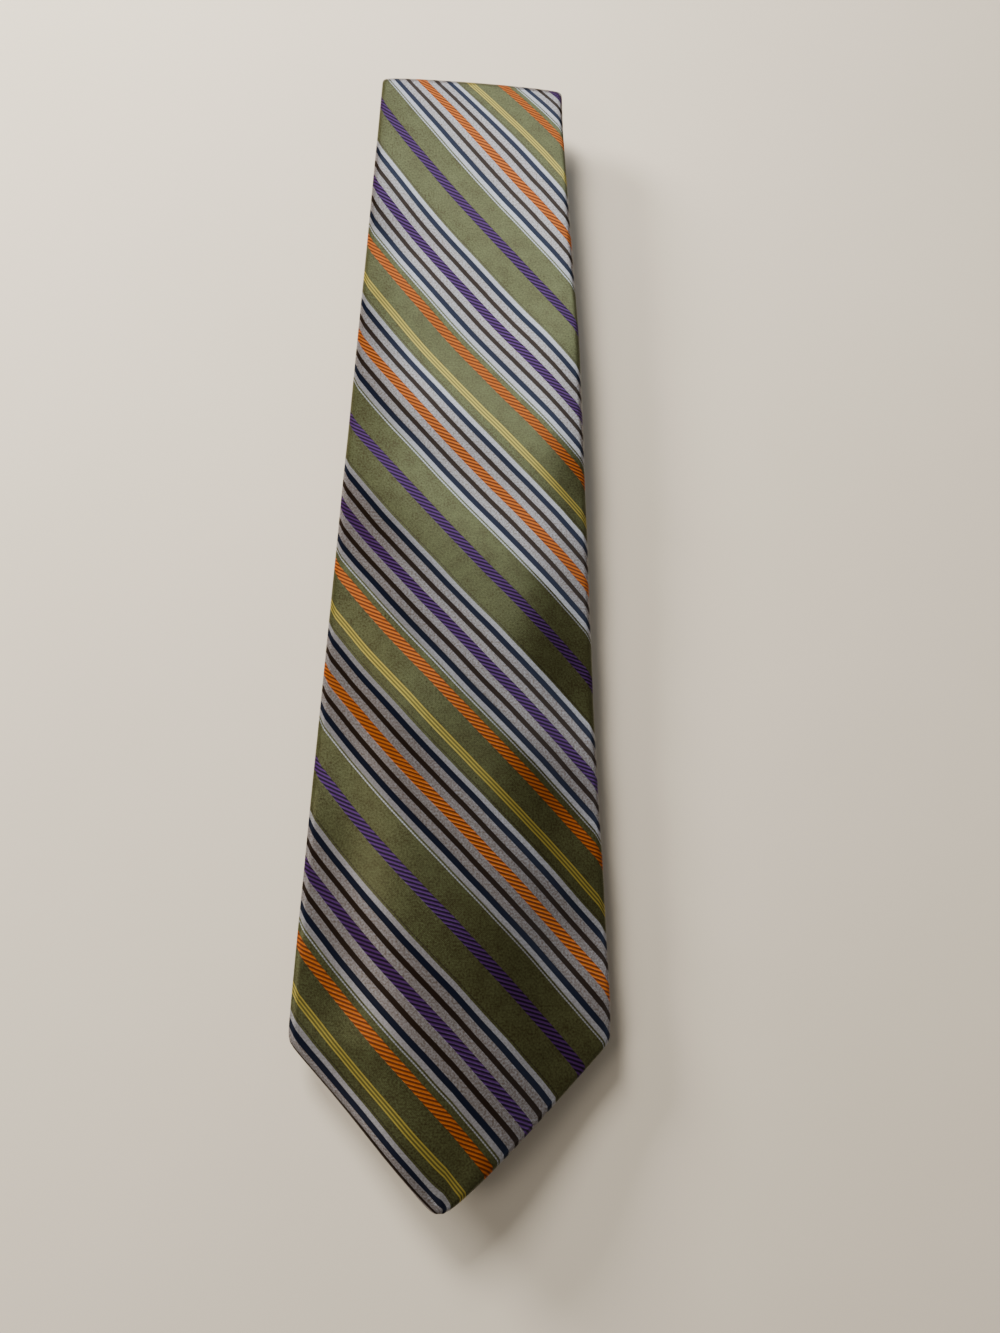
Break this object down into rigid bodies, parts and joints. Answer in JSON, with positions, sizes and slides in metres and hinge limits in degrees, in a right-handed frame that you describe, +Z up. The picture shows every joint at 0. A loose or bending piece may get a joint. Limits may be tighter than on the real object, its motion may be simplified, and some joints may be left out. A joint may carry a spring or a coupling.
{
  "type": "necktie",
  "caption": "Pointed silk necktie with diagonal stripes, wool interlining and a keeper loop, folded in a zigzag that opens at soft fold hinges.",
  "frame": {"origin": "on the table, at the middle of the folded stack's bounding box", "axes": "+X across the tie, +Y along it from the wide end's tip to the top fold, +Z up through the four layers"},
  "size_m": [0.0948, 0.375, 0.0161],
  "materials": {
    "striped_silk": "jacquard silk satin, sage ground with diagonal stripes",
    "wool_interlining": "brushed woven wool, matte",
    "tipping_satin": "plain satin lining",
    "sage_thread": "spun silk sewing thread",
    "label_satin": "blank woven satin label",
    "care_tag_satin": "blank satin ribbon"
  },
  "bodies": {
    "tail": {"tail_shell": "striped_silk", "tail_interlining": "wool_interlining", "tail_tipping": "tipping_satin", "tail_slip_stitch": "sage_thread", "tail_bar_tack": "sage_thread", "care_tag": "care_tag_satin", "care_tag_stitch": "sage_thread", "tail_fold_shell": "striped_silk", "tail_fold_interlining": "wool_interlining"},
    "neck_quarter": {"blade_neck_shell": "striped_silk", "neck_gusset": "striped_silk", "tail_neck_shell": "striped_silk", "neck_interlining": "wool_interlining", "neck_slip_stitch": "sage_thread", "blade_piecing_seam": "sage_thread", "tail_piecing_seam": "sage_thread", "lower_fold_shell": "striped_silk", "lower_fold_interlining": "wool_interlining"},
    "second_quarter": {"second_quarter_shell": "striped_silk", "second_quarter_interlining": "wool_interlining", "second_quarter_slip_stitch": "sage_thread", "top_fold_shell": "striped_silk", "top_fold_interlining": "wool_interlining"},
    "wide_blade": {"blade_shell": "striped_silk", "blade_interlining": "wool_interlining", "blade_tipping": "tipping_satin", "blade_slip_stitch": "sage_thread", "blade_bar_tack": "sage_thread", "keeper_loop": "striped_silk", "keeper_stitch_left": "sage_thread", "keeper_stitch_right": "sage_thread", "woven_label": "label_satin", "label_stitch_1": "sage_thread", "label_stitch_2": "sage_thread", "label_stitch_3": "sage_thread", "label_stitch_4": "sage_thread"}
  },
  "joints": [
    {"name": "tail_fold", "type": "hinge", "parent": "tail", "child": "neck_quarter", "pos_m": [0, 0.1805, 0.00375], "axis": [-1, 0, 0], "range_deg": [0, 180], "deforming": ["tail_fold_shell", "tail_fold_interlining"]},
    {"name": "lower_fold", "type": "hinge", "parent": "neck_quarter", "child": "second_quarter", "pos_m": [0, -0.1635, 0.0079], "axis": [1, 0, 0], "range_deg": [0, 180], "deforming": ["lower_fold_shell", "lower_fold_interlining"]},
    {"name": "top_fold", "type": "hinge", "parent": "second_quarter", "child": "wide_blade", "pos_m": [0, 0.1875, 0.0122], "axis": [-1, 0, 0], "range_deg": [0, 180], "deforming": ["top_fold_shell", "top_fold_interlining"]}
  ],
  "couplings": [
    {"joint": "lower_fold", "follows": "tail_fold", "ratio": 1}
  ]
}
